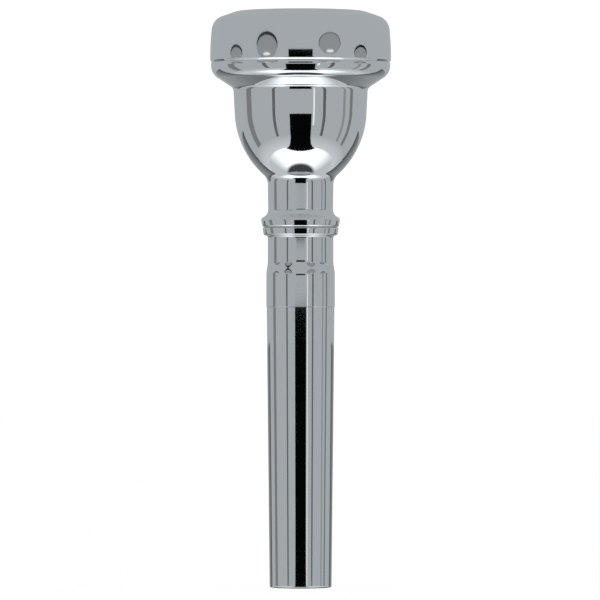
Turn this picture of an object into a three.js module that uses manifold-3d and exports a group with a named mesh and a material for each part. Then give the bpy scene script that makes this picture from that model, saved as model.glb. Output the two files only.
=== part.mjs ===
// Trumpet mouthpiece with a screw rim and a screw backbore.
// Millimetres, +Z up along the bore. The origin is the centre of the shank's open end, which it stands on.
// Top to bottom it unscrews into the rim, the cup and the backbore, with an O-ring at each screwed joint.
import * as THREE from 'three';
import { mergeVertices } from 'three/addons/utils/BufferGeometryUtils.js';
import Module from 'manifold-3d';

// Overall sizes
const overallLength = 87.0;
const rimDiameter = 27.3;
const rimBite = 8.1;            // radius of the inner edge that the lip feels
const crestRadius = 9.1;        // radius of the rim's highest ring
const rimHeight = 7.8;          // crest down to the seam with the cup
const cupHeight = 24.9;         // seam with the rim down to the seam with the backbore

// Rim
const crestRound = 2.6;         // section radius of the crest
const slopeAngle = 18.5;        // fall of the outer slope, degrees
const shoulderRound = 1.7;      // section radius of the outer shoulder
const sideCrown = 38.0;         // section radius of the slightly bowed side
const shoulderTilt = 6.2;       // lean of the side where it meets the shoulder, degrees
const widestDrop = 6.4;         // crest down to the widest ring
const edgeBreak = 0.12;         // small chamfer where two pieces meet

// Cup
const flangeRound = 1.5;        // section radius under the rim
const flangeEdge = 0.7;         // straight edge of the flange
const flangeDepth = 4.0;        // seam with the rim down to the cup wall
const flangeHollow = 0.4;       // hollow between the flange and the cup wall
const coneAngle = 33;           // rise of the flange's underside, degrees
const cupWallTop = 10.18;       // outer radius of the cup under the flange
const bowlRadius = 13.2;        // section radius of the outer bowl
const bowlShoulder = 9.97;      // outer radius where the bowl starts to turn in
const bowlDrop = 7.1;           // seam with the rim down to that level
const bowlTurn = 48;            // slope of the outer bowl where it meets the neck's fillet, degrees
const cupDepth = 12.0;          // crest down to the bottom of the playing bowl
const throatRadius = 1.85;      // the narrowest bore
const throatMouthRound = 1.2;   // section radius where the bowl meets the throat
const neckRadius = 4.95;
const beadRadius = 5.93;        // the cup's bottom bead
const beadHeight = 1.45;
const beadFlare = 1.3;          // section radius of the hollow above the bead

// Backbore
const flangeRadius = 5.62;      // the ring under the cup's bead
const flangeHeight = 1.1;
const subNeckRadius = 4.95;
const subNeckHeight = 2.6;      // flange down to the start of the swell
const swellRadius = 5.17;
const swellHeight = 4.2;        // height over which the sub-neck widens
const sleeveHeight = 4.1;       // parallel stretch above the shank
const shankTopRadius = 5.12;
const shankEndRadius = 4.67;
const shankEndChamfer = 0.2;
const boreEndRadius = 3.95;     // open end of the backbore

// Screwed joint between rim and cup
const rimThreadMajor = 9.9;     // radius over the cup's thread
const rimThreadDepth = 0.45;
const rimThreadPitch = 1.0;
const rimThreadTurns = 2.2;
const rimThreadStart = 2.2;     // seam up to the middle of the thread's first turn
const rimSpigotHeight = 5.0;    // cup's spigot above the seam
const rimSealLevel = 0.85;      // seal's centre above the seam
const rimSealSection = 1.0;     // diameter of the seal's cord

// Screwed joint between cup and backbore
const shankThreadMajor = 3.6;
const shankThreadDepth = 0.35;
const shankThreadPitch = 0.8;
const shankThreadTurns = 4.2;
const shankThreadStart = 2.3;
const shankSpigotHeight = 6.6;  // backbore's spigot above the seam
const shankSealLevel = 0.75;
const shankSealSection = 0.8;

// Clearances
const threadClearance = 0.1;    // on every flank, root and crest
const spigotClearance = 0.12;   // round a plain spigot
const spigotEndGap = 0.1;       // above a spigot's end
const sealGap = 0.03;           // seal to the spigot that it slides on, and to its groove's sides
const sealBackGap = 0.08;       // seal to the bottom of its groove, which turns round it

// Smoothness
const turnSteps = 36;
const arcStep = 15;             // largest angle between points of a section arc, degrees

// Worked-out levels
const rimSeam = overallLength - rimHeight;
const cupSeam = rimSeam - cupHeight;
const rimRadius = rimDiameter / 2;
const rimSpigotTop = rimSeam + rimSpigotHeight;
const shankSpigotTop = cupSeam + shankSpigotHeight;
const swellTop = cupSeam - flangeHeight - subNeckHeight;
const swellBottom = swellTop - swellHeight;
const shankTop = swellBottom - sleeveHeight;

const radians = (degrees) => degrees * Math.PI / 180;
const wasm = await Module();
wasm.setup();

// Points [r, z] along a section arc round a centre, from one angle to another, in degrees.
function arc(centreR, centreZ, radius, from, to) {
  const steps = Math.max(2, Math.ceil(Math.abs(to - from) / arcStep));
  return Array.from({ length: steps + 1 }, (_, i) => {
    const angle = radians(from + (to - from) * i / steps);
    return [centreR + radius * Math.cos(angle), centreZ + radius * Math.sin(angle)];
  });
}

// A shape turned round Z from a closed section, with points [r, z] in the anticlockwise order.
function turned(section, steps = turnSteps) {
  const points = section.map(([r, z]) => new THREE.Vector2(r, z));
  points.push(points[0].clone());
  const shape = new THREE.LatheGeometry(points, steps);
  shape.rotateX(Math.PI / 2);
  return shape;
}

// A helical ridge round Z. Its section widens towards the root and fades out at both ends.
function helicalRidge({ root, crest, bottom, pitch, turns, rootWidth, crestWidth, steps }) {
  const count = Math.round(turns * steps);
  const positions = [];
  const faces = [];
  for (let i = 0; i <= count; i++) {
    const angle = 2 * Math.PI * i / steps;
    const middle = bottom + pitch * i / steps;
    const fade = Math.min(1, i / (steps / 4), (count - i) / (steps / 4));
    const height = 0.1 + 0.9 * fade;
    const tip = root + (crest - root) * height;
    const tipWidth = rootWidth + (crestWidth - rootWidth) * height;
    const corners = [[root, -rootWidth / 2], [tip, -tipWidth / 2], [tip, tipWidth / 2], [root, rootWidth / 2]];
    corners.forEach(([r, z]) => positions.push(r * Math.cos(angle), r * Math.sin(angle), middle + z));
  }
  for (let i = 0; i < count; i++) {
    for (let j = 0; j < 4; j++) {
      const a = 4 * i + j;
      const b = 4 * i + (j + 1) % 4;
      faces.push(a, a + 4, b, b, a + 4, b + 4);
    }
  }
  const last = 4 * count;
  faces.push(0, 1, 2, 0, 2, 3, last, last + 2, last + 1, last, last + 3, last + 2);
  const shape = new THREE.BufferGeometry();
  shape.setAttribute('position', new THREE.Float32BufferAttribute(positions, 3));
  shape.setIndex(faces);
  return shape;
}

// Six times the signed volume: positive when the faces point out.
function facing(vertices, triangles) {
  let total = 0;
  for (let i = 0; i < triangles.length; i += 3) {
    const [a, b, c] = [0, 1, 2].map((k) => new THREE.Vector3().fromArray(vertices, 3 * triangles[i + k]));
    total += a.dot(b.cross(c));
  }
  return total;
}

// A three.js geometry as a solid, with its faces turned outwards where they point in.
function solid(geometry) {
  const bare = geometry.clone();
  bare.deleteAttribute('normal');
  bare.deleteAttribute('uv');
  const merged = mergeVertices(bare, 1e-5);
  const vertProperties = new Float32Array(merged.attributes.position.array);
  const index = Array.from(merged.index.array);
  const triVerts = [];
  for (let i = 0; i < index.length; i += 3) {
    const [a, b, c] = index.slice(i, i + 3);
    if (a !== b && b !== c && c !== a) {
      triVerts.push(a, b, c);
    }
  }
  if (facing(vertProperties, triVerts) < 0) {
    triVerts.reverse();
  }
  return new wasm.Manifold(new wasm.Mesh({ numProp: 3, vertProperties, triVerts: new Uint32Array(triVerts) }));
}

// A solid back as a three.js geometry.
function geometryOf(body) {
  const mesh = body.getMesh();
  const shape = new THREE.BufferGeometry();
  shape.setAttribute('position', new THREE.Float32BufferAttribute(mesh.vertProperties, 3));
  shape.setIndex(Array.from(mesh.triVerts));
  shape.computeVertexNormals();
  return shape;
}

// The male ridge of a screwed joint, or with a clearance the space that the female part leaves for it.
function threadRidge(major, depth, pitch, bottom, turns, steps, clearance) {
  const minor = major - depth;
  const flankRise = 0.5;        // width lost at each flank, as a share of the depth
  const crestWidth = 0.18 * pitch;
  const rootInset = 0.15;       // how far the ridge is sunk into its core
  const crest = major + clearance;
  const root = minor - rootInset;
  const widen = 2 * clearance;
  return helicalRidge({
    root,
    crest,
    bottom,
    pitch,
    turns,
    steps,
    crestWidth: crestWidth + widen,
    rootWidth: crestWidth + widen + 2 * flankRise * (crest - root),
  });
}

// Each screwed joint's thread. The female groove starts a turn lower and ends a little higher.
const grooveExtraTurns = 1.2;
const rimThread = {
  minor: rimThreadMajor - rimThreadDepth,
  bottom: rimSeam + rimThreadStart,
};
const shankThread = {
  minor: shankThreadMajor - shankThreadDepth,
  bottom: cupSeam + shankThreadStart,
};

const silverPlate = () => new THREE.MeshStandardMaterial({ color: 0xb4b6b8, roughness: 0.12, metalness: 1 });
const brassPlate = () => new THREE.MeshStandardMaterial({ color: 0xaeb0b3, roughness: 0.15, metalness: 1 });
const blackRubber = () => new THREE.MeshStandardMaterial({ color: 0x1d1d1f, roughness: 0.7, metalness: 0 });

// Playing bowl: from the bite the wall falls in a deep rounded curve to the throat.
const bowlBottom = overallLength - cupDepth;
const bowlWallRadius = rimBite - 0.15;
function bowlR(z) {
  const top = rimSpigotTop;
  const share = (z - bowlBottom) / (top - bowlBottom);
  const mouth = throatRadius + throatMouthRound;
  return mouth + (bowlWallRadius - mouth) * Math.pow(1 - Math.pow(1 - share, 2.1), 0.62);
}

// ---- Rim ----
function rimSection() {
  const top = overallLength;
  const crest = arc(crestRadius, top - crestRound, crestRound, 90, 90 - slopeAngle);
  const widestZ = top - widestDrop;
  const sideCentre = rimRadius - sideCrown;
  const sideTop = arc(sideCentre, widestZ, sideCrown, shoulderTilt, 0);
  const [sideTopR, sideTopZ] = sideTop[0];
  const shoulderCentreR = sideTopR - shoulderRound * Math.cos(radians(shoulderTilt));
  const shoulderCentreZ = sideTopZ - shoulderRound * Math.sin(radians(shoulderTilt));
  const shoulder = arc(shoulderCentreR, shoulderCentreZ, shoulderRound, 90 - slopeAngle, shoulderTilt);
  const bottomAngle = -Math.asin((widestZ - rimSeam - edgeBreak) / sideCrown) * 180 / Math.PI;
  const sideLow = arc(sideCentre, widestZ, sideCrown, 0, bottomAngle);
  const [sideEndR] = sideLow[sideLow.length - 1];
  const boreR = rimThreadMajor + spigotClearance;
  const sealR = rimThreadMajor + sealGap + rimSealSection + sealBackGap;
  const sealLow = rimSeam + rimSealLevel - rimSealSection / 2 - sealGap;
  const sealHigh = rimSeam + rimSealLevel + rimSealSection / 2 + sealGap;
  const threadBore = rimThread.minor + threadClearance;
  const threadMouth = rimThread.bottom - 0.65;
  const boreTop = rimSpigotTop + spigotEndGap;
  const biteRound = crestRadius - rimBite;
  const inner = arc(crestRadius, top - biteRound, biteRound, 90, 180);
  return {
    outside: [
      [boreR + edgeBreak, rimSeam],
      [sideEndR - edgeBreak, rimSeam],
      ...sideLow.slice().reverse(),
      ...sideTop.slice().reverse().slice(1),
      ...shoulder.slice().reverse().slice(1),
      ...crest.slice().reverse(),
      ...inner.slice(1),
    ],
    inside: [
      [bowlWallRadius, boreTop],
      [threadBore, boreTop],
      [threadBore, threadMouth + 0.3],
      [boreR, threadMouth],
      [boreR, sealHigh],
      [sealR, sealHigh],
      [sealR, sealLow],
      [boreR, sealLow],
      [boreR, rimSeam + edgeBreak],
    ],
  };
}
const rimProfile = rimSection();
const rimBlank = solid(turned([...rimProfile.outside, ...rimProfile.inside]));
const rimGroove = solid(threadRidge(
  rimThreadMajor, rimThreadDepth, rimThreadPitch, rimThread.bottom - rimThreadPitch,
  rimThreadTurns + grooveExtraTurns, turnSteps, threadClearance));
const rim = new THREE.Mesh(geometryOf(rimBlank.subtract(rimGroove)), silverPlate());
rim.name = 'rim';

// ---- Rim seal ----
function sealRing(innerRadius, section, level) {
  const sides = 10;
  const middle = innerRadius + section / 2;
  const corners = Array.from({ length: sides }, (_, i) => {
    const angle = radians(360 * i / sides);
    return [middle + section / 2 * Math.cos(angle), level + section / 2 * Math.sin(angle)];
  });
  return turned(corners);
}
const rimSeal = new THREE.Mesh(
  sealRing(rimThreadMajor + sealGap, rimSealSection, rimSeam + rimSealLevel), blackRubber());
rimSeal.name = 'rim_seal';

// ---- Cup ----
function cupSection() {
  const flangeTopAngle = -Math.asin((rimHeight - widestDrop) / sideCrown);
  const flangeTopR = rimRadius - sideCrown * (1 - Math.cos(flangeTopAngle));
  const turn = 90 - coneAngle;
  const flange = arc(flangeTopR - flangeRound, rimSeam - flangeEdge, flangeRound, 0, -turn);
  const wallTop = rimSeam - flangeDepth;
  const bowlLevel = rimSeam - bowlDrop;
  const bowl = arc(bowlShoulder - bowlRadius, bowlLevel, bowlRadius, 0, -bowlTurn);
  const [bowlEndR, bowlEndZ] = bowl[bowl.length - 1];
  const neckFillet = (bowlEndR - neckRadius) / (1 - Math.cos(radians(bowlTurn)));
  const neckTop = bowlEndZ - neckFillet * Math.sin(radians(bowlTurn));
  const fillet = arc(neckRadius + neckFillet, neckTop, neckFillet, 180, 180 - bowlTurn);
  const bead = arc(beadRadius - beadHeight / 2, cupSeam + beadHeight / 2, beadHeight / 2, 60, -70);
  const [beadTopR, beadTopZ] = bead[0];
  const [beadEndR] = bead[bead.length - 1];
  const flareTurn = 180 - Math.acos(1 - (beadTopR - neckRadius) / beadFlare) * 180 / Math.PI;
  const flareZ = beadTopZ + beadFlare * Math.sin(radians(flareTurn));
  const flare = arc(neckRadius + beadFlare, flareZ, beadFlare, 180, 360 - flareTurn);
  const spigotWall = shankThreadMajor + spigotClearance;
  const sealR = shankThreadMajor + sealGap + shankSealSection + sealBackGap;
  const sealLow = cupSeam + shankSealLevel - shankSealSection / 2 - sealGap;
  const sealHigh = cupSeam + shankSealLevel + shankSealSection / 2 + sealGap;
  const threadBore = shankThread.minor + threadClearance;
  const threadMouth = shankThread.bottom - 0.6;
  const boreTop = shankSpigotTop + spigotEndGap;
  const levels = 14;
  const bowlWall = Array.from({ length: levels + 1 }, (_, i) => {
    const share = Math.pow(i / levels, 1.7);
    const z = bowlBottom + (rimSpigotTop - bowlBottom) * share;
    return [bowlR(z), z];
  });
  const mouth = arc(throatRadius + throatMouthRound, bowlBottom - throatMouthRound, throatMouthRound, 90, 180);
  return [
    [spigotWall + edgeBreak, cupSeam],
    [beadEndR - edgeBreak, cupSeam],
    ...bead.slice().reverse(),
    ...flare.slice().reverse().slice(1),
    ...fillet,
    ...bowl.slice(0, -1).reverse(),
    [cupWallTop, wallTop],
    [cupWallTop + flangeHollow, wallTop + flangeHollow],
    ...flange.slice().reverse(),
    [flangeTopR, rimSeam - edgeBreak],
    [flangeTopR - edgeBreak, rimSeam],
    [rimThreadMajor, rimSeam],
    [rimThreadMajor, rimThread.bottom - 0.75],
    [rimThread.minor, rimThread.bottom - 0.45],
    [rimThread.minor, rimSpigotTop - 0.25],
    [rimThread.minor - 0.25, rimSpigotTop],
    ...bowlWall.slice().reverse(),
    ...mouth.slice(1),
    [throatRadius, boreTop],
    [threadBore, boreTop],
    [threadBore, threadMouth + 0.3],
    [spigotWall, threadMouth],
    [spigotWall, sealHigh],
    [sealR, sealHigh],
    [sealR, sealLow],
    [spigotWall, sealLow],
    [spigotWall, cupSeam + edgeBreak],
  ];
}
const cupBlank = solid(turned(cupSection()));
const cupRidge = solid(threadRidge(
  rimThreadMajor, rimThreadDepth, rimThreadPitch, rimThread.bottom,
  rimThreadTurns, turnSteps, 0));
const cupGroove = solid(threadRidge(
  shankThreadMajor, shankThreadDepth, shankThreadPitch, shankThread.bottom - shankThreadPitch,
  shankThreadTurns + grooveExtraTurns, turnSteps, threadClearance));
const cup = new THREE.Mesh(geometryOf(cupBlank.add(cupRidge).subtract(cupGroove)), silverPlate());
cup.name = 'cup';

// ---- Shank seal ----
const shankSeal = new THREE.Mesh(
  sealRing(shankThreadMajor + sealGap, shankSealSection, cupSeam + shankSealLevel), blackRubber());
shankSeal.name = 'shank_seal';

// ---- Backbore ----
function backboreSection() {
  const flangeLow = cupSeam - flangeHeight;
  const half = flangeHeight / 2;
  const ring = arc(flangeRadius - half, cupSeam - half, half, 62, -50);
  const hollow = 0.35;
  return [
    [boreEndRadius, 0],
    [shankEndRadius - shankEndChamfer, 0],
    [shankEndRadius, shankEndChamfer],
    [shankTopRadius, shankTop - 0.1],
    [swellRadius, shankTop + 0.05],
    [swellRadius, swellBottom],
    [(swellRadius + subNeckRadius) / 2, (swellTop + swellBottom) / 2],
    [subNeckRadius, swellTop],
    [subNeckRadius, flangeLow - hollow],
    [subNeckRadius + hollow * 0.4, flangeLow - hollow * 0.3],
    ...ring.slice().reverse(),
    [flangeRadius - half * 0.6, cupSeam],
    [shankThreadMajor, cupSeam],
    [shankThreadMajor, shankThread.bottom - 0.7],
    [shankThread.minor, shankThread.bottom - 0.45],
    [shankThread.minor, shankSpigotTop - 0.2],
    [shankThread.minor - 0.2, shankSpigotTop],
    [throatRadius, shankSpigotTop],
    [throatRadius + 0.1, shankSpigotTop * 0.9],
    [throatRadius + 0.75, shankSpigotTop * 0.55],
    [throatRadius + 1.55, shankSpigotTop * 0.2],
  ];
}
const backboreBlank = solid(turned(backboreSection()));
const backboreRidge = solid(threadRidge(
  shankThreadMajor, shankThreadDepth, shankThreadPitch, shankThread.bottom,
  shankThreadTurns, turnSteps, 0));
const backbore = new THREE.Mesh(geometryOf(backboreBlank.add(backboreRidge)), brassPlate());
backbore.name = 'backbore';

const group = new THREE.Group();
group.add(rim, rimSeal, cup, shankSeal, backbore);
export default group;
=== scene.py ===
import math

import bpy
import numpy as np
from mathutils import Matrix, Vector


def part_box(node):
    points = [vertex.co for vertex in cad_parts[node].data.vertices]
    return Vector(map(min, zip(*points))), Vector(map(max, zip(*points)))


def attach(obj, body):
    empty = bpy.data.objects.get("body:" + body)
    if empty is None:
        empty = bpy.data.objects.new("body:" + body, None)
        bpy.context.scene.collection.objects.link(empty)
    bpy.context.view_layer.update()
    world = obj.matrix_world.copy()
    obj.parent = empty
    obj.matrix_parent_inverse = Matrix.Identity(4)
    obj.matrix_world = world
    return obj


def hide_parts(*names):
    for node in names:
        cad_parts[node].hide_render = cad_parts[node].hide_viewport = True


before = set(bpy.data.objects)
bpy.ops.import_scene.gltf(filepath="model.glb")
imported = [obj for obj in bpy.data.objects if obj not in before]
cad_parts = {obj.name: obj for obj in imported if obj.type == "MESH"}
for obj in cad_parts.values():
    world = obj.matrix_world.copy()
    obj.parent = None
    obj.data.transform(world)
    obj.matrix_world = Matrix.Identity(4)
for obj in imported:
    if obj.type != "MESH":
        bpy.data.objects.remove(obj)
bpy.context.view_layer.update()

mm = 0.001

# Levels and joints of the CAD model, in millimetres
rimLow, rimHigh = (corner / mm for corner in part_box("rim"))
cupLow, cupHigh = (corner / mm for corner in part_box("cup"))
boreLow, boreHigh = (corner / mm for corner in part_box("backbore"))
crestLevel, rimSeam, cupSeam, footLevel = rimHigh[2], rimLow[2], cupLow[2], boreLow[2]
turnSteps = 240   # faces round each turned piece
sharpAngle = 32   # degrees between faces, above which an edge stays crisp
# Crest and flank widths are shares of the pitch
threadShape = {"rowsPerMm": 14, "runOut": 0.3, "crest": 0.2, "flank": 0.3, "leadIn": 0.25, "relief": 0.3}


def linearFromHex(code):   # sRGB hex such as "b4b6b8" to linear red, green, blue, alpha
    channels = [int(code[i:i + 2], 16) / 255 for i in (0, 2, 4)]
    return [c / 12.92 if c <= 0.04045 else ((c + 0.055) / 1.055) ** 2.4 for c in channels] + [1.0]


def addNode(tree, kind, settings=None, values=None, links=None):
    # One node, with its settings, its input values and what is plugged into it
    node = tree.nodes.new(kind)
    for name, value in (settings or {}).items():
        setattr(node, name, value)
    for name, value in (values or {}).items():
        node.inputs[name].default_value = value
    for name, socket in (links or {}).items():
        tree.links.new(socket, node.inputs[name])
    return node


def newMaterial(name):
    material = bpy.data.materials.new(name)
    material.use_nodes = True
    material.node_tree.nodes.clear()
    return material, material.node_tree


def arc(centre, radius, start, end, count=14):
    # Points (r, z) at centre + radius * (cos a, sin a), with a running evenly from start to end in degrees
    a = np.radians(np.linspace(start, end, count))
    return np.stack([centre[0] + radius * np.cos(a), centre[1] + radius * np.sin(a)], axis=1)


def line(start, end, count=2):
    # Points evenly spaced on the straight line from start to end
    s = np.linspace(0, 1, count)[:, None]
    return np.array(start) * (1 - s) + np.array(end) * s


def softCorner(before, corner, after, radius, count=8):
    # A fillet at a corner: the arc that touches both lines at radius * tan(half the turn) from the corner
    before, corner, after = (np.array(p, float) for p in (before, corner, after))
    u = (before - corner) / np.linalg.norm(before - corner)
    v = (after - corner) / np.linalg.norm(after - corner)
    half = math.acos(float(np.clip(u @ v, -1, 1))) / 2
    reach = radius / math.tan(half)
    middle = (u + v) / np.linalg.norm(u + v)
    centre = corner + middle * radius / math.sin(half)
    first, last = corner + u * reach - centre, corner + v * reach - centre
    a, b = math.atan2(first[1], first[0]), math.atan2(last[1], last[0])
    b = a + (b - a + math.pi) % (2 * math.pi) - math.pi
    t = np.linspace(a, b, count)
    return centre + radius * np.stack([np.cos(t), np.sin(t)], axis=1)


def plain(points):
    # Profile rows (r, z, thread height, pitch, phase) of a stretch with no thread
    points = np.atleast_2d(np.array(points, float))
    return np.hstack([points, np.tile([0.0, 1.0, 0.0], (len(points), 1))])


def threaded(radius, bottom, top, joint, seam):
    # Rows of a threaded stretch: a straight line, with a thread height that rises and falls over the run-out
    z = np.linspace(bottom, top, int(abs(top - bottom) * threadShape["rowsPerMm"]))
    low, high = min(bottom, top), max(bottom, top)
    fade = np.clip(np.minimum(z - low, high - z) / threadShape["runOut"], 0, 1)
    same = np.ones_like(z)
    phase = (seam + joint["start"]) * same
    return np.stack([radius * same, z, joint["depth"] * fade, joint["pitch"] * same, phase], axis=1)


def guarded(rows, guard=0.12):
    # Two more rows in each long straight stretch, at its ends +- guard, so that it mirrors as a true straight
    step = rows[1:] - rows[:-1]
    length = np.hypot(step[:, 0], step[:, 1])
    long = np.where(length > 4 * guard)[0]
    share = (guard / length[long])[:, None]
    extra = np.stack([rows[long] + step[long] * share, rows[long + 1] - step[long] * share], axis=1)
    return np.insert(rows, np.repeat(long + 1, 2), extra.reshape(-1, rows.shape[1]), axis=0)


def turnedPiece(name, rows):
    # A closed profile carried round Z. Radius = profile radius + thread height * ridge(share), where
    # share = (z - phase) / pitch - angle / one turn, and ridge is 1 over the crest, falls straight over each
    # flank and is 0 at the root
    rows = guarded(rows)
    angle = np.linspace(0, 2 * np.pi, turnSteps, endpoint=False)
    r, z, height, pitch, phase = (rows[:, i][:, None] for i in range(5))
    crest, flank = threadShape["crest"], threadShape["flank"]
    share = (z - phase) / pitch - angle[None, :] / (2 * np.pi)
    off = np.abs(share - np.round(share))
    ridge = np.clip((crest / 2 + flank - off) / flank, 0, 1)
    radius = r + height * ridge
    level = z + 0 * radius
    points = np.stack([radius * np.cos(angle), radius * np.sin(angle), level], axis=-1)
    count = len(rows)
    i, j = np.meshgrid(np.arange(count), np.arange(turnSteps), indexing="ij")
    nextI, nextJ = (i + 1) % count, (j + 1) % turnSteps
    corners = [i * turnSteps + j, i * turnSteps + nextJ, nextI * turnSteps + nextJ, nextI * turnSteps + j]
    quads = np.stack(corners, axis=-1).reshape(-1, 4)
    area = np.sum(rows[:, 0] * np.roll(rows[:, 1], -1) - np.roll(rows[:, 0], -1) * rows[:, 1])
    if area < 0:
        quads = quads[:, ::-1]
    mesh = bpy.data.meshes.new(name)
    mesh.vertices.add(points.size // 3)
    mesh.vertices.foreach_set("co", (points * mm).astype(np.float32).ravel())
    mesh.loops.add(quads.size)
    mesh.loops.foreach_set("vertex_index", quads.astype(np.int32).ravel())
    mesh.polygons.add(len(quads))
    mesh.polygons.foreach_set("loop_start", np.arange(0, quads.size, 4, dtype=np.int32))
    mesh.update(calc_edges=True)
    mesh.validate()
    mesh.polygons.foreach_set("use_smooth", np.ones(len(mesh.polygons), dtype=bool))
    mesh.set_sharp_from_angle(angle=math.radians(sharpAngle))
    piece = bpy.data.objects.new(name, mesh)
    bpy.context.scene.collection.objects.link(piece)
    return piece


def fit(piece, body, node, material):
    piece.data.materials.append(material)
    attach(piece, body)
    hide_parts(node)


silver = {"waveWidth": 8.0, "waveHeight": 0.004, "lineWidth": 0.18, "wipeWidth": 12.0, "smooth": 0.025, "dull": 0.07}


def buffedSilver(name, tint, lineDepth):
    # Silver plate over brass, buffed on a wheel: a mirror with a hardly visible waviness, hairlines round the
    # turning axis, and faint wiping marks that dull it in patches
    material, tree = newMaterial(name)
    place = addNode(tree, "ShaderNodeTexCoord").outputs["Object"]
    peel = addNode(tree, "ShaderNodeTexNoise", values={"Scale": 1 / (silver["waveWidth"] * mm), "Detail": 1.5},
                   links={"Vector": place})
    stretch = addNode(tree, "ShaderNodeMapping", values={"Scale": (0.02, 0.02, 1.0)}, links={"Vector": place})
    lines = addNode(tree, "ShaderNodeTexNoise", values={"Scale": 1 / (silver["lineWidth"] * mm), "Detail": 3.0},
                    links={"Vector": stretch.outputs["Vector"]})
    wiped = addNode(tree, "ShaderNodeTexNoise", values={"Scale": 1 / (silver["wipeWidth"] * mm), "Detail": 4.0},
                    links={"Vector": place})
    spread = {"From Min": 0.35, "From Max": 0.7, "To Min": silver["smooth"], "To Max": silver["dull"]}
    rough = addNode(tree, "ShaderNodeMapRange", values=spread, links={"Value": wiped.outputs["Fac"]})
    waves = addNode(tree, "ShaderNodeBump", values={"Strength": 1.0, "Distance": silver["waveHeight"] * mm},
                    links={"Height": peel.outputs["Fac"]})
    scratches = addNode(tree, "ShaderNodeBump", values={"Strength": 1.0, "Distance": lineDepth * mm},
                        links={"Height": lines.outputs["Fac"], "Normal": waves.outputs["Normal"]})
    shader = addNode(tree, "ShaderNodeBsdfPrincipled", values={"Base Color": linearFromHex(tint), "Metallic": 1.0},
                     links={"Roughness": rough.outputs["Result"], "Normal": scratches.outputs["Normal"]})
    addNode(tree, "ShaderNodeOutputMaterial", links={"Surface": shader.outputs["BSDF"]})
    return material


rubber = {"colour": "1b1b1d", "grain": 0.1, "grainHeight": 0.01, "smooth": 0.5, "dull": 0.75}


def mouldedNitrile():
    # Black nitrile rubber, moulded: matt, with a fine grain and a soft sheen
    material, tree = newMaterial("nitrileRubberMoulded")
    place = addNode(tree, "ShaderNodeTexCoord").outputs["Object"]
    grain = addNode(tree, "ShaderNodeTexNoise", values={"Scale": 1 / (rubber["grain"] * mm), "Detail": 3.0},
                    links={"Vector": place})
    bump = addNode(tree, "ShaderNodeBump", values={"Strength": 0.5, "Distance": rubber["grainHeight"] * mm},
                   links={"Height": grain.outputs["Fac"]})
    rough = addNode(tree, "ShaderNodeMapRange", values={"To Min": rubber["smooth"], "To Max": rubber["dull"]},
                    links={"Value": grain.outputs["Fac"]})
    shader = addNode(tree, "ShaderNodeBsdfPrincipled", values={"Base Color": linearFromHex(rubber["colour"])},
                     links={"Roughness": rough.outputs["Result"], "Normal": bump.outputs["Normal"]})
    addNode(tree, "ShaderNodeOutputMaterial", links={"Surface": shader.outputs["BSDF"]})
    return material


rimSilver = buffedSilver("silverPlateRimBuffed", "f4f5f5", 0.00012)
cupSilver = buffedSilver("silverPlateCupBuffed", "f4f5f5", 0.00012)
shankSilver = buffedSilver("silverPlateShankBuffed", "f3f4f4", 0.00016)
nitrile = mouldedNitrile()
print("materials made")

# Screwed joints, shared by the pieces on both sides
rimJoint = {"major": 9.9, "depth": 0.45, "pitch": 1.0, "start": 2.2, "spigot": 5.0,
            "sealLevel": 0.85, "sealSection": 1.0}
shankJoint = {"major": 3.6, "depth": 0.35, "pitch": 0.8, "start": 2.3, "spigot": 6.6,
              "sealLevel": 0.75, "sealSection": 0.8}
gaps = {"thread": 0.1, "spigot": 0.12, "spigotEnd": 0.1, "seal": 0.03, "sealBack": 0.08, "edge": 0.1}


def maleSpigot(joint, seam):
    # From the seam up: plain stretch for the seal, relief, thread and a small lead-in
    root = joint["major"] - joint["depth"]
    threadLow = seam + joint["start"] - joint["pitch"] * 0.45
    top = seam + joint["spigot"]
    return np.vstack([
        plain([(joint["major"], seam), (joint["major"], threadLow - threadShape["relief"])]),
        threaded(root, threadLow, top - threadShape["leadIn"], joint, seam),
        plain([(root - threadShape["leadIn"], top)]),
    ])


def femaleSocket(joint, seam):
    # From the top down: socket end, thread, mouth, seal groove and the edge at the seam
    root = joint["major"] - joint["depth"] + gaps["thread"]
    wall = joint["major"] + gaps["spigot"]
    back = joint["major"] + gaps["seal"] + joint["sealSection"] + gaps["sealBack"]
    top = seam + joint["spigot"] + gaps["spigotEnd"]
    threadLow = seam + joint["start"] - joint["pitch"] * 0.55
    sealHigh = seam + joint["sealLevel"] + joint["sealSection"] / 2 + gaps["seal"]
    sealLow = seam + joint["sealLevel"] - joint["sealSection"] / 2 - gaps["seal"]
    return np.vstack([
        threaded(root, top, threadLow + 0.2, joint, seam),
        plain([(wall, threadLow), (wall, sealHigh), (back, sealHigh), (back, sealLow), (wall, sealLow),
               (wall, seam + gaps["edge"]), (wall + gaps["edge"], seam)]),
    ])


rimShape = {"bite": 8.1, "crest": 9.1, "crestRound": 2.6, "slope": 20.0, "shoulderRound": 2.3, "sideCrown": 38.0,
            "shoulderTilt": 6.2, "widest": 6.84, "bevelHeight": 0.32, "bevelLean": 36.0, "bevelRound": 0.12,
            "bowlAtJoint": 7.95}


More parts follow.
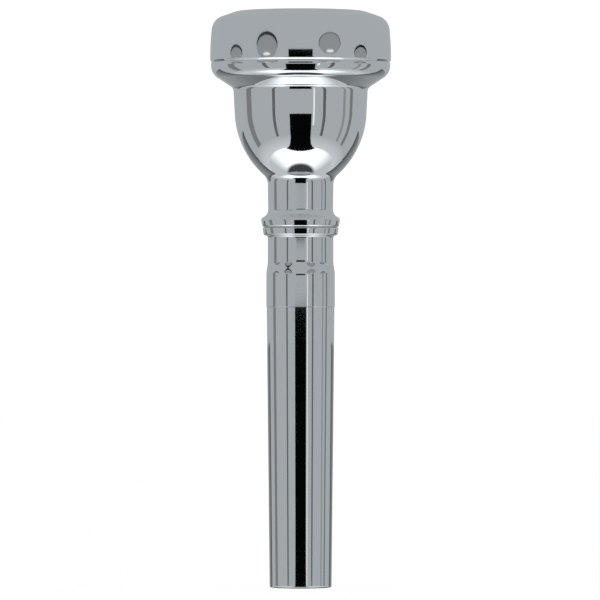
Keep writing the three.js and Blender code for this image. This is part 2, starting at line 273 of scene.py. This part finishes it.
def rimRows(shape):
    top, radius = crestLevel, float(rimHigh[0])
    widest = top - shape["widest"]
    sideCentre = (radius - shape["sideCrown"], widest)
    side = arc(sideCentre, shape["sideCrown"], shape["shoulderTilt"], 0, 20)
    tilt = math.radians(shape["shoulderTilt"])
    shoulderCentre = side[0] - shape["shoulderRound"] * np.array([math.cos(tilt), math.sin(tilt)])
    shoulder = arc(shoulderCentre, shape["shoulderRound"], 90 - shape["slope"], shape["shoulderTilt"], 24)
    crest = arc((shape["crest"], top - shape["crestRound"]), shape["crestRound"], 90, 90 - shape["slope"], 12)
    biteRound = shape["crest"] - shape["bite"]
    bite = arc((shape["crest"], top - biteRound), biteRound, 180, 90, 20)
    low = -math.degrees(math.asin((widest - rimSeam - shape["bevelHeight"]) / shape["sideCrown"]))
    sideLow = arc(sideCentre, shape["sideCrown"], 0, low, 10)
    bevelTop = sideLow[-1]
    bevelFoot = bevelTop - shape["bevelHeight"] * np.array([math.tan(math.radians(shape["bevelLean"])), 1])
    bevel = np.vstack([softCorner(sideLow[-2], bevelTop, bevelFoot, shape["bevelRound"], 6), [bevelFoot]])
    return np.vstack([
        plain([(shape["bowlAtJoint"], rimSeam + rimJoint["spigot"] + gaps["spigotEnd"])]),
        plain(bite), plain(crest[1:]), plain(shoulder), plain(side[1:]), plain(sideLow[1:-1]), plain(bevel),
        femaleSocket(rimJoint, rimSeam)[::-1],
    ])


rim = turnedPiece("screwRim", rimRows(rimShape))
fit(rim, "rim", "rim", rimSilver)
print("rim made")

cupShape = {"flangeInset": 0.1, "flangeRound": 2.2, "flangeEdge": 0.45, "flangeEdgeRound": 0.15, "flangeDepth": 3.85,
            "flangeHollow": 0.9, "cone": 28.0, "wallTop": 10.15, "wallLean": 3.4, "bowlRadius": 13.2,
            "bowlShoulder": 9.97, "bowlDrop": 7.1, "bowlTurn": 48.0, "bowlDepth": 12.0, "mouthR": 7.95,
            "throat": 1.85, "throatRound": 1.2, "neck": 4.95, "neckWaist": 4.9, "flare": 1.2,
            "bead": 5.95, "beadTop": 0.55, "beadLevel": 1.1, "beadLean": 11.0, "beadEdge": 0.5, "beadInset": 0.1}


def bowlWall(shape, count=60):
    # Radius = mouth of the throat + width * (1 - (1 - share of height) ^ 2.1) ^ 0.62
    low, high = crestLevel - shape["bowlDepth"], rimSeam + rimJoint["spigot"]
    share = np.linspace(0, 1, count) ** 2
    inner = shape["throat"] + shape["throatRound"]
    r = inner + (shape["mouthR"] - inner) * (1 - (1 - share) ** 2.1) ** 0.62
    return np.stack([r, low + (high - low) * share], axis=1)


def cupRows(shape):
    radius = float(cupHigh[0]) - shape["flangeInset"]
    edgeRound = shape["flangeEdgeRound"]
    edge = arc((radius - edgeRound, rimSeam - edgeRound), edgeRound, 90, 0, 8)
    flangeCentre = (radius - shape["flangeRound"], rimSeam - shape["flangeEdge"])
    flange = arc(flangeCentre, shape["flangeRound"], 0, shape["cone"] - 90, 28)
    wallTop = (shape["wallTop"], rimSeam - shape["flangeDepth"])
    bowlCentre = (shape["bowlShoulder"] - shape["bowlRadius"], rimSeam - shape["bowlDrop"])
    bowl = arc(bowlCentre, shape["bowlRadius"], -shape["wallLean"], -shape["bowlTurn"], 50)
    hollow = softCorner(flange[-1], wallTop, bowl[0], shape["flangeHollow"], 16)
    turn = math.radians(shape["bowlTurn"])
    filletRadius = (bowl[-1][0] - shape["neck"]) / (1 - math.cos(turn))
    filletCentre = (shape["neck"] + filletRadius, bowl[-1][1] - filletRadius * math.sin(turn))
    fillet = arc(filletCentre, filletRadius, 180 - shape["bowlTurn"], 180, 20)[1:]
    beadMiddle = (shape["bead"] - shape["beadTop"], cupSeam + shape["beadLevel"])
    beadTop = arc(beadMiddle, shape["beadTop"], 60, -shape["beadLean"], 16)
    beadFall = (shape["beadLevel"] - shape["beadInset"]) * math.tan(math.radians(shape["beadLean"]))
    beadFoot = np.array([beadTop[-1][0] - beadFall, cupSeam])
    beadEdge = softCorner(beadTop[-1], beadFoot, beadFoot - [1, 0], shape["beadEdge"], 12)
    bead = np.vstack([beadTop[:-1], beadEdge])
    lean = 180 - math.degrees(math.acos(1 - (bead[0][0] - shape["neckWaist"]) / shape["flare"]))
    flareRise = shape["flare"] * math.sin(math.radians(lean))
    flareCentre = (shape["neckWaist"] + shape["flare"], bead[0][1] + flareRise)
    flare = arc(flareCentre, shape["flare"], 180, 360 - lean, 16)
    throatTop = crestLevel - shape["bowlDepth"] - shape["throatRound"]
    mouth = arc((shape["throat"] + shape["throatRound"], throatTop), shape["throatRound"], 90, 180, 12)
    socketTop = cupSeam + shankJoint["spigot"] + gaps["spigotEnd"]
    return np.vstack([
        maleSpigot(rimJoint, rimSeam)[::-1],
        plain(edge), plain(flange), plain(hollow), plain(bowl), plain(fillet), plain(flare),
        plain(bead[1:]), plain([(bead[-1][0] - shape["beadInset"], cupSeam)]),
        femaleSocket(shankJoint, cupSeam)[::-1],
        plain([(shape["throat"], socketTop)]),
        plain(mouth[::-1]), plain(bowlWall(shape)[1:]),
    ])


cup = turnedPiece("cupAndThroat", cupRows(cupShape))
fit(cup, "cup", "cup", cupSilver)
print("cup made")

shankShape = {"ring": 5.76, "ringHeight": 1.1, "ringLean": 9.0, "ringTopEdge": 0.12, "ringEdge": 0.36,
              "ringUndercut": 0.35, "ringHollow": 0.35, "subNeck": 4.95, "subNeckHeight": 3.9,
              "swell": 5.17, "swellHeight": 2.2, "sleeveEnd": 12.0, "step": 0.06,
              "shankTop": 5.12, "shankEnd": 4.67, "endRound": 0.2, "boreEnd": 3.95, "throat": 1.85}


def backboreRows(shape):
    ringFall = shape["ringHeight"] * math.tan(math.radians(shape["ringLean"]))
    ringTop, ringFoot = (shape["ring"], cupSeam), (shape["ring"] - ringFall, cupSeam - shape["ringHeight"])
    ring = np.vstack([
        softCorner((shape["ring"] - 1, cupSeam), ringTop, ringFoot, shape["ringTopEdge"], 6),
        softCorner(ringTop, ringFoot, (ringFoot[0] - 1, ringFoot[1] - shape["ringUndercut"]), shape["ringEdge"], 12),
    ])
    swellTop = cupSeam - shape["ringHeight"] - shape["subNeckHeight"]
    swellLow = swellTop - shape["swellHeight"]
    shankTop = cupSeam - shape["sleeveEnd"]
    t = np.linspace(0, 1, 24)
    smooth = t * t * (3 - 2 * t)
    swellR = shape["subNeck"] + (shape["swell"] - shape["subNeck"]) * smooth
    swell = np.stack([swellR, swellTop + (swellLow - swellTop) * t], axis=1)
    hollowFoot = (shape["subNeck"], ringFoot[1] - 0.2)
    neckCorner = softCorner(ring[-1], hollowFoot, swell[0], shape["ringHollow"], 10)
    taperEnd = (shape["shankEnd"], shape["endRound"])
    endCentre = (shape["shankEnd"] - shape["endRound"], footLevel + shape["endRound"])
    endRound = arc(endCentre, shape["endRound"], 0, -90, 8)
    height = float(boreHigh[2])
    s = np.linspace(0, 1, 40)
    boreR = shape["throat"] + (shape["boreEnd"] - shape["throat"]) * s ** 1.25
    bore = np.stack([boreR, height * (1 - s)], axis=1)
    return np.vstack([
        maleSpigot(shankJoint, cupSeam)[::-1],
        plain(ring), plain(neckCorner), plain(swell),
        plain([(shape["swell"], shankTop + shape["step"]), (shape["shankTop"], shankTop)]),
        plain(line((shape["shankTop"], shankTop - 0.02), taperEnd, 30)),
        plain(endRound[1:]), plain(bore[::-1]),
    ])


backbore = turnedPiece("backboreAndShank", backboreRows(shankShape))
fit(backbore, "backbore", "backbore", shankSilver)
print("backbore made")


def sealRows(joint, seam):
    middle = (joint["major"] + gaps["seal"] + joint["sealSection"] / 2, seam + joint["sealLevel"])
    return plain(arc(middle, joint["sealSection"] / 2, 0, 345, 24))


rimSeal = turnedPiece("rimSealRing", sealRows(rimJoint, rimSeam))
fit(rimSeal, "rim_seal", "rim_seal", nitrile)
shankSeal = turnedPiece("shankSealRing", sealRows(shankJoint, cupSeam))
fit(shankSeal, "shank_seal", "shank_seal", nitrile)
print("seals made")

# The studio is a gray cloth tent. A mirror finish shows the tent, its lamps and stands, and the slit that the
# lens looks through
studio = {"tentRadius": 1500.0, "tent": "a9aeb1", "black": "050606", "floorRadius": 1400.0}
# White mat: radii and level, then the brightness of each part of it, which is painted light and shade: painted light
# in front, painted shade at the sides and behind, and a painted shadow round the foot
mat = {"radius": 69.0, "inner": 25.0, "outer": 125.0, "level": -8.0, "blend": 3.0, "frontTurn": 60.0, "sideTurn": 40.0,
       "backTurn": 130.0, "front": 1.25, "side": 0.55, "behind": 0.4, "behindShadeEdge": 0.03, "foot": 0.05,
       "apron": 0.62, "tent": 0.42}
toneTint = [0.96, 1.0, 1.03, 1.0]   # cool cast of the shaded cards
# Slit below the lens, and the dark square of its hood further up: turn, half turn, low, high, distance
slitCards = {"slit": (0.0, 19.0, -350.0, 41.0, 300.0), "hood": (0.0, 15.2, 63.0, 150.0, 1000.0)}
# Dark cloth that runs from the slit up to the mat
runner = {"distance": [69.0, 73.0, 82.0, 110.0, 300.0], "halfTurn": [36.0, 28.0, 23.5, 20.0, 19.0]}
screen = {"halfTurn": 50, "low": -250, "high": 34, "distance": 200, "steps": 40}   # behind the object
# Stands: turn from the lens, half turn, colour
stands = [(-47.0, 2.6, "5f6062"), (-100.0, 6.5, "7b7c7e"), (41.5, 2.6, "5d5e60"), (81.0, 2.5, "8a8b8d"),
          (97.5, 3.5, "77787a")]
# Lamps: turn, half turn, middle level, half height, width of the dark hood over them
lamps = [(-43.0, 14.0, 123.0, 40.0, 9.0), (37.0, 14.5, 127.0, 34.0, 2.5), (-89.0, 10.5, 98.0, 20.0, 5.0),
         (81.5, 10.5, 98.0, 20.0, 5.0)]
glint = (23.0, 1.4, -40.0, 60.0, 300.0)   # narrow gap beside the slit that lets light in, as slitCards
lamp = {"distance": 400.0, "panel": "8f9194", "spot": "ffffff"}
stand = {"distance": 300.0, "low": -300.0, "high": 80.0}


def cardMaterial(name, code):
    # Matt card lit evenly: it shows its own colour to whatever mirrors it
    material, tree = newMaterial(name)
    glow = addNode(tree, "ShaderNodeEmission", values={"Color": linearFromHex(code), "Strength": 1.0})
    addNode(tree, "ShaderNodeOutputMaterial", links={"Surface": glow.outputs["Emission"]})
    return material


def shadedMaterial(name):
    # The same card, with painted light and shade: its brightness comes from the mesh's own tone values
    material, tree = newMaterial(name)
    tone = addNode(tree, "ShaderNodeAttribute", {"attribute_name": "tone"})
    glow = addNode(tree, "ShaderNodeEmission", values={"Strength": 1.0}, links={"Color": tone.outputs["Color"]})
    addNode(tree, "ShaderNodeOutputMaterial", links={"Surface": glow.outputs["Emission"]})
    return material


def stageMesh(name, vertices, faces, material, seen=False, tones=None):
    # Part of the set. Unless it is seen, only mirrors show it
    mesh = bpy.data.meshes.new(name)
    mesh.from_pydata([tuple(v) for v in np.asarray(vertices) * mm], [], faces)
    mesh.materials.append(material)
    if tones is not None:
        values = np.asarray(tones, np.float32)[:, None] * np.array(toneTint, np.float32)
        mesh.attributes.new("tone", "FLOAT_COLOR", "POINT").data.foreach_set("color", values.ravel())
    thing = bpy.data.objects.new(name, mesh)
    bpy.context.scene.collection.objects.link(thing)
    thing.visible_camera = seen
    thing.visible_diffuse = seen
    thing.visible_shadow = seen
    thing.visible_transmission = seen
    thing.visible_glossy = not seen
    return thing


def tent(radius, material, around=64, up=33):
    # Whole sphere of radius * (cos e cos a, cos e sin a, sin e), with a round the object and e bottom to top
    a = np.linspace(0, 2 * np.pi, around, endpoint=False)
    e = np.radians(np.linspace(-89, 89, up))
    ring, turn = np.meshgrid(e, a, indexing="ij")
    points = radius * np.stack([np.cos(ring) * np.cos(turn), np.cos(ring) * np.sin(turn), np.sin(ring)], axis=-1)
    i, j = np.meshgrid(np.arange(up - 1), np.arange(around), indexing="ij")
    side = (j + 1) % around
    corners = [i * around + j, i * around + side, (i + 1) * around + side, (i + 1) * around + j]
    faces = np.stack(corners, axis=-1).reshape(-1, 4).tolist()
    faces += [list(range(around)), list(range((up - 1) * around, up * around))]
    return stageMesh("tent", points.reshape(-1, 3), faces, material)


def card(name, middle, halfTurn, low, high, distance, material, tones=None, steps=12):
    # Upright strip of a cylinder round the object: distance * (sin a, -cos a), with a from one side to the other
    a = np.radians(np.linspace(middle - halfTurn, middle + halfTurn, steps + 1))
    foot = np.stack([distance * np.sin(a), -distance * np.cos(a), np.full_like(a, low)], axis=1)
    head = foot + np.array([0, 0, high - low])
    faces = [(i, i + 1, i + 2 + steps, i + 1 + steps) for i in range(steps)]
    both = None if tones is None else np.concatenate([tones, tones])
    return stageMesh(name, np.vstack([foot, head]), faces, material, tones=both)


def roundCard(name, middle, halfTurn, level, halfHeight, distance, material):
    # Oval card: turn = middle + half turn * cos t, height = level + half height * sin t
    t = np.linspace(0, 2 * np.pi, 40, endpoint=False)
    a = np.radians(middle + halfTurn * np.cos(t))
    points = np.stack([distance * np.sin(a), -distance * np.cos(a), level + halfHeight * np.sin(t)], axis=1)
    return stageMesh(name, points, [tuple(range(40))], material)


def behindShadeTone(turn):
    # Painted shade: black at the edge of the sector behind the object, and paler towards its middle
    away = np.clip((np.abs(turn) - mat["backTurn"]) / (180 - mat["backTurn"]), 0, 1)
    return mat["behindShadeEdge"] + (mat["behind"] - mat["behindShadeEdge"]) * away ** 0.6


tent(studio["tentRadius"], cardMaterial("tentCloth", studio["tent"]))
black = cardMaterial("blackFlock", studio["black"])
toned = shadedMaterial("shadedCard")
for name, (middle, halfTurn, low, high, distance) in slitCards.items():
    card(name, middle, halfTurn, low, high, distance, black)
for k, (middle, halfTurn, code) in enumerate(stands):
    cloth = cardMaterial("stand%d" % k, code)
    card("stand%d" % k, middle, halfTurn, stand["low"], stand["high"], stand["distance"], cloth)
card("glint", *glint, cardMaterial("glintCard", "eeefef"))
panel = cardMaterial("lampPanel", lamp["panel"])
spot = cardMaterial("lampSpot", lamp["spot"])
for k, (middle, halfTurn, level, halfHeight, hood) in enumerate(lamps):
    away = lamp["distance"]
    roundCard("lampHood%d" % k, middle, halfTurn, level, halfHeight, away, black)
    roundCard("lampPanel%d" % k, middle, halfTurn - 0.6, level - hood, halfHeight - hood * 0.3, away - 5, panel)
    spotLevel, spotHeight = level - halfHeight * 0.75, halfHeight * 0.1
    roundCard("lampSpot%d" % k, middle, halfTurn * 0.35, spotLevel, spotHeight, away - 8, spot)
a = np.radians(runner["halfTurn"])
reach = np.array(runner["distance"])
runnerLevel = mat["level"] + 0.02   # just above the mat
side = np.stack([reach * np.sin(a), -reach * np.cos(a), np.full_like(a, runnerLevel)], axis=1)
count = len(a)
faces = [(i, i + 1, i + 1 + count, i + count) for i in range(count - 1)]
stageMesh("runner", np.vstack([side, side * [-1, 1, 1]]), faces, black)

# Screen behind the object, with painted shade that is dark at both its edges
turns = np.linspace(180 - screen["halfTurn"], 180 + screen["halfTurn"], screen["steps"] + 1)
card("backScreen", 180, screen["halfTurn"], screen["low"], screen["high"], screen["distance"], toned,
     behindShadeTone(np.where(turns > 180, 360 - turns, turns)), screen["steps"])

# White mat below the object, with painted light and shade: a painted shadow dark round the foot, painted light bright
# in front, painted shade grayer at the sides, grayer outside, and painted shade dark in the sector behind
frontCount, backCount = 53, 41
frontTurns = np.linspace(-mat["backTurn"], mat["backTurn"], frontCount)
backTurns = np.linspace(mat["backTurn"], 360 - mat["backTurn"], backCount)
edge = np.radians(np.concatenate([frontTurns, backTurns]))
turn = np.degrees(np.abs(np.where(edge > np.pi, edge - 2 * np.pi, edge)))
# Painted light in front, fading to painted shade at the sides
sideShadeShare = np.clip((turn - mat["frontTurn"]) / mat["sideTurn"], 0, 1)
inFront = np.arange(len(edge)) < frontCount
matLightAndShadeTones = np.where(inFront, mat["front"] + (mat["side"] - mat["front"]) * sideShadeShare, behindShadeTone(turn))
apronTones = np.where(inFront, mat["apron"], behindShadeTone(turn))
tentTones = np.where(inFront, mat["tent"], behindShadeTone(turn))
# Painted shadow round the foot
footShadowTones = np.full_like(matLightAndShadeTones, mat["foot"])
rings = [(0.2, footShadowTones), (mat["inner"] - mat["blend"], footShadowTones), (mat["inner"] + mat["blend"], matLightAndShadeTones),
         (mat["radius"], matLightAndShadeTones), (mat["radius"] + 4, apronTones), (mat["outer"], tentTones)]
level = np.full_like(edge, mat["level"])
points = np.vstack([np.stack([r * np.sin(edge), -r * np.cos(edge), level], axis=1) for r, tone in rings])
count = len(edge)
faces = [(k * count + i, k * count + i + 1, (k + 1) * count + i + 1, (k + 1) * count + i)
         for k in range(len(rings) - 1) for i in range(count - 1) if i != frontCount - 1]
stageMesh("mat", points, faces, toned, tones=np.concatenate([tone for r, tone in rings]))

# Pale floor: the camera sees it white, with a little of its real shading so that the shadow stays
floorGlow = 0.95   # share of the floor's look that is its own even white
floorMaterial, tree = newMaterial("paperFloor")
paper = addNode(tree, "ShaderNodeBsdfDiffuse", values={"Color": linearFromHex("f4f4f4")})
glow = addNode(tree, "ShaderNodeEmission", values={"Color": (1, 1, 1, 1), "Strength": 1.0})
path = addNode(tree, "ShaderNodeLightPath")
share = addNode(tree, "ShaderNodeMath", {"operation": "MULTIPLY"}, {1: floorGlow},
                {0: path.outputs["Is Camera Ray"]})
mix = addNode(tree, "ShaderNodeMixShader",
              links={0: share.outputs[0], 1: paper.outputs["BSDF"], 2: glow.outputs["Emission"]})
addNode(tree, "ShaderNodeOutputMaterial", links={"Surface": mix.outputs["Shader"]})
a = np.linspace(0, 2 * np.pi, 96, endpoint=False)
reach, floorLevel = studio["floorRadius"], -0.05
disc = np.stack([reach * np.cos(a), reach * np.sin(a), np.full_like(a, floorLevel)], axis=1)
stageMesh("floor", disc, [tuple(range(96))], floorMaterial, seen=True)

world = bpy.data.worlds.new("studio")
bpy.context.scene.world = world
world.use_nodes = True
tree = world.node_tree
tree.nodes.clear()
sky = addNode(tree, "ShaderNodeBackground", values={"Color": (1, 1, 1, 1), "Strength": 1.05})
addNode(tree, "ShaderNodeOutputWorld", links={"Surface": sky.outputs["Background"]})
print("studio made")

view = {"distance": 950.0, "width": 90.6, "level": 43.37, "sensor": 36.0, "shiftX": -0.001}
cameraData = bpy.data.cameras.new("camera")
cameraData.sensor_width = view["sensor"]
cameraData.lens = view["sensor"] * view["distance"] / view["width"]
cameraData.shift_x = view["shiftX"]
cameraData.clip_start = 0.01
camera = bpy.data.objects.new("camera", cameraData)
camera.location = (0, -view["distance"] * mm, view["level"] * mm)
camera.rotation_euler = (math.pi / 2, 0, 0)
bpy.context.scene.collection.objects.link(camera)
bpy.context.scene.camera = camera
bpy.context.scene.view_settings.view_transform = "Standard"
